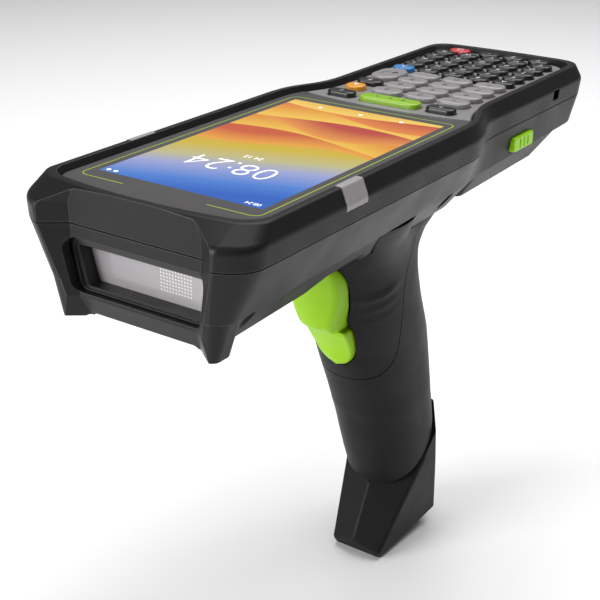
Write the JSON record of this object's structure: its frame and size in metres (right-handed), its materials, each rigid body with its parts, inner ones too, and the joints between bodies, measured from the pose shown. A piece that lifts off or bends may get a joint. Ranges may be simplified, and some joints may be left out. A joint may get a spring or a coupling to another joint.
{
  "type": "portable barcode data terminal",
  "caption": "Pistol-grip mobile computer with touch screen, keypad, front scan window, lime trigger and removable battery.",
  "frame": {"origin": "middle of the flat sole under the grip's boot", "axes": "+Y from the scan window towards the keypad end, +X to the user's left seen from the keypad end, +Z from the grip up through the screen"},
  "size_m": [0.0736, 0.2044, 0.1587],
  "materials": {
    "charcoal_housing": "fine textured charcoal polycarbonate",
    "keypad_faceplate": "satin grey",
    "soft_touch_rubber": "soft touch overmould",
    "battery_plastic": "fine textured",
    "cover_glass": "toughened, polished",
    "display_module": "liquid crystal module",
    "black_foam": "adhesive foam",
    "magnesium_frame": "bead blasted",
    "circuit_board": "solder mask",
    "silicone_mat": "silicone",
    "light_pipe_plastic": "diffusing polycarbonate",
    "bezel_plastic": "fine matt",
    "scan_pane": "polished",
    "engine_housing": "moulded",
    "lime_plastic": "satin lime green",
    "zinc_steel": "zinc plated",
    "gold_contact": "gold plated",
    "dark_key": "satin",
    "white_key": "satin",
    "orange_key": "satin",
    "blue_key": "satin",
    "red_key": "satin"
  },
  "bodies": {
    "case": {"battery_contacts": "gold_contact", "display_glass": "cover_glass", "display_panel": "display_module", "grip_boot": "soft_touch_rubber", "grip_core": "magnesium_frame", "grip_front_cover": "soft_touch_rubber", "grip_screws": "zinc_steel", "grip_shell": "soft_touch_rubber", "housing_screws": "zinc_steel", "key_mat": "silicone_mat", "keypad_plate": "keypad_faceplate", "light_pipe_left": "light_pipe_plastic", "light_pipe_right": "light_pipe_plastic", "lower_housing": "charcoal_housing", "main_board": "circuit_board", "mid_frame": "magnesium_frame", "scan_engine": "engine_housing", "scan_window": "scan_pane", "screen_gasket": "black_foam", "trigger_pin": "zinc_steel", "trigger_spring": "zinc_steel", "trigger_switch": "engine_housing", "upper_housing": "charcoal_housing", "window_bezel": "bezel_plastic"},
    "alpha_key": {"alpha_key": "blue_key"},
    "enter_key": {"enter_key": "white_key"},
    "function_key": {"function_key": "dark_key"},
    "letter_keys_1": {"letter_keys_1": "dark_key"},
    "letter_keys_2": {"letter_keys_2": "dark_key"},
    "letter_keys_3": {"letter_keys_3": "dark_key"},
    "letter_keys_4": {"letter_keys_4": "dark_key"},
    "letter_keys_5": {"letter_keys_5": "dark_key"},
    "letter_keys_6": {"letter_keys_6": "dark_key"},
    "number_key_11": {"number_key_11": "white_key"},
    "number_key_12": {"number_key_12": "white_key"},
    "number_key_13": {"number_key_13": "white_key"},
    "number_key_21": {"number_key_21": "white_key"},
    "number_key_22": {"number_key_22": "white_key"},
    "number_key_23": {"number_key_23": "white_key"},
    "number_key_31": {"number_key_31": "white_key"},
    "number_key_32": {"number_key_32": "white_key"},
    "number_key_33": {"number_key_33": "white_key"},
    "number_key_41": {"number_key_41": "white_key"},
    "number_key_42": {"number_key_42": "white_key"},
    "number_key_43": {"number_key_43": "white_key"},
    "power_key": {"power_key": "red_key"},
    "scan_key": {"scan_key": "lime_plastic"},
    "shift_key": {"shift_key": "orange_key"},
    "soft_key_left": {"soft_key_left": "dark_key"},
    "soft_key_right": {"soft_key_right": "dark_key"},
    "trigger": {"trigger": "lime_plastic"},
    "battery_latch_left": {"battery_latch_left": "lime_plastic"},
    "battery_latch_right": {"battery_latch_right": "lime_plastic"},
    "battery_pack": {"battery_pack": "battery_plastic", "battery_cover": "battery_plastic"}
  },
  "joints": [
    {"name": "trigger_pivot", "type": "hinge", "parent": "case", "child": "trigger", "pos_m": [0, -0.038, 0.1155], "axis": [1, 0, 0], "range_deg": [0, 7], "stiffness_Nm_per_rad": 0.15, "springref_deg": -11.46},
    {"name": "battery_latch_left_slide", "type": "slide", "parent": "case", "child": "battery_latch_left", "axis": [-1, 0, 0], "range_m": [0, 0.0012], "stiffness_N_per_m": 600, "springref_m": -0.001},
    {"name": "battery_latch_right_slide", "type": "slide", "parent": "case", "child": "battery_latch_right", "axis": [1, 0, 0], "range_m": [0, 0.0012], "stiffness_N_per_m": 600, "springref_m": -0.001},
    {"name": "battery_removal", "type": "slide", "parent": "case", "child": "battery_pack", "axis": [0, 0, -1], "range_m": [0, 0.03]},
    {"name": "alpha_key_press", "type": "slide", "parent": "case", "child": "alpha_key", "axis": [0, 0, -1], "range_m": [0, 0.0006], "stiffness_N_per_m": 800, "springref_m": -0.0006},
    {"name": "enter_key_press", "type": "slide", "parent": "case", "child": "enter_key", "axis": [0, 0, -1], "range_m": [0, 0.0006], "stiffness_N_per_m": 800, "springref_m": -0.0006},
    {"name": "function_key_press", "type": "slide", "parent": "case", "child": "function_key", "axis": [0, 0, -1], "range_m": [0, 0.0006], "stiffness_N_per_m": 800, "springref_m": -0.0006},
    {"name": "letter_keys_1_press", "type": "slide", "parent": "case", "child": "letter_keys_1", "axis": [0, 0, -1], "range_m": [0, 0.0006], "stiffness_N_per_m": 800, "springref_m": -0.0006},
    {"name": "letter_keys_2_press", "type": "slide", "parent": "case", "child": "letter_keys_2", "axis": [0, 0, -1], "range_m": [0, 0.0006], "stiffness_N_per_m": 800, "springref_m": -0.0006},
    {"name": "letter_keys_3_press", "type": "slide", "parent": "case", "child": "letter_keys_3", "axis": [0, 0, -1], "range_m": [0, 0.0006], "stiffness_N_per_m": 800, "springref_m": -0.0006},
    {"name": "letter_keys_4_press", "type": "slide", "parent": "case", "child": "letter_keys_4", "axis": [0, 0, -1], "range_m": [0, 0.0006], "stiffness_N_per_m": 800, "springref_m": -0.0006},
    {"name": "letter_keys_5_press", "type": "slide", "parent": "case", "child": "letter_keys_5", "axis": [0, 0, -1], "range_m": [0, 0.0006], "stiffness_N_per_m": 800, "springref_m": -0.0006},
    {"name": "letter_keys_6_press", "type": "slide", "parent": "case", "child": "letter_keys_6", "axis": [0, 0, -1], "range_m": [0, 0.0006], "stiffness_N_per_m": 800, "springref_m": -0.0006},
    {"name": "number_key_11_press", "type": "slide", "parent": "case", "child": "number_key_11", "axis": [0, 0, -1], "range_m": [0, 0.0006], "stiffness_N_per_m": 800, "springref_m": -0.0006},
    {"name": "number_key_12_press", "type": "slide", "parent": "case", "child": "number_key_12", "axis": [0, 0, -1], "range_m": [0, 0.0006], "stiffness_N_per_m": 800, "springref_m": -0.0006},
    {"name": "number_key_13_press", "type": "slide", "parent": "case", "child": "number_key_13", "axis": [0, 0, -1], "range_m": [0, 0.0006], "stiffness_N_per_m": 800, "springref_m": -0.0006},
    {"name": "number_key_21_press", "type": "slide", "parent": "case", "child": "number_key_21", "axis": [0, 0, -1], "range_m": [0, 0.0006], "stiffness_N_per_m": 800, "springref_m": -0.0006},
    {"name": "number_key_22_press", "type": "slide", "parent": "case", "child": "number_key_22", "axis": [0, 0, -1], "range_m": [0, 0.0006], "stiffness_N_per_m": 800, "springref_m": -0.0006},
    {"name": "number_key_23_press", "type": "slide", "parent": "case", "child": "number_key_23", "axis": [0, 0, -1], "range_m": [0, 0.0006], "stiffness_N_per_m": 800, "springref_m": -0.0006},
    {"name": "number_key_31_press", "type": "slide", "parent": "case", "child": "number_key_31", "axis": [0, 0, -1], "range_m": [0, 0.0006], "stiffness_N_per_m": 800, "springref_m": -0.0006},
    {"name": "number_key_32_press", "type": "slide", "parent": "case", "child": "number_key_32", "axis": [0, 0, -1], "range_m": [0, 0.0006], "stiffness_N_per_m": 800, "springref_m": -0.0006},
    {"name": "number_key_33_press", "type": "slide", "parent": "case", "child": "number_key_33", "axis": [0, 0, -1], "range_m": [0, 0.0006], "stiffness_N_per_m": 800, "springref_m": -0.0006},
    {"name": "number_key_41_press", "type": "slide", "parent": "case", "child": "number_key_41", "axis": [0, 0, -1], "range_m": [0, 0.0006], "stiffness_N_per_m": 800, "springref_m": -0.0006},
    {"name": "number_key_42_press", "type": "slide", "parent": "case", "child": "number_key_42", "axis": [0, 0, -1], "range_m": [0, 0.0006], "stiffness_N_per_m": 800, "springref_m": -0.0006},
    {"name": "number_key_43_press", "type": "slide", "parent": "case", "child": "number_key_43", "axis": [0, 0, -1], "range_m": [0, 0.0006], "stiffness_N_per_m": 800, "springref_m": -0.0006},
    {"name": "power_key_press", "type": "slide", "parent": "case", "child": "power_key", "axis": [0, 0, -1], "range_m": [0, 0.0006], "stiffness_N_per_m": 800, "springref_m": -0.0006},
    {"name": "scan_key_press", "type": "slide", "parent": "case", "child": "scan_key", "axis": [0, 0, -1], "range_m": [0, 0.0006], "stiffness_N_per_m": 800, "springref_m": -0.0006},
    {"name": "shift_key_press", "type": "slide", "parent": "case", "child": "shift_key", "axis": [0, 0, -1], "range_m": [0, 0.0006], "stiffness_N_per_m": 800, "springref_m": -0.0006},
    {"name": "soft_key_left_press", "type": "slide", "parent": "case", "child": "soft_key_left", "axis": [0, 0, -1], "range_m": [0, 0.0006], "stiffness_N_per_m": 800, "springref_m": -0.0006},
    {"name": "soft_key_right_press", "type": "slide", "parent": "case", "child": "soft_key_right", "axis": [0, 0, -1], "range_m": [0, 0.0006], "stiffness_N_per_m": 800, "springref_m": -0.0006}
  ]
}
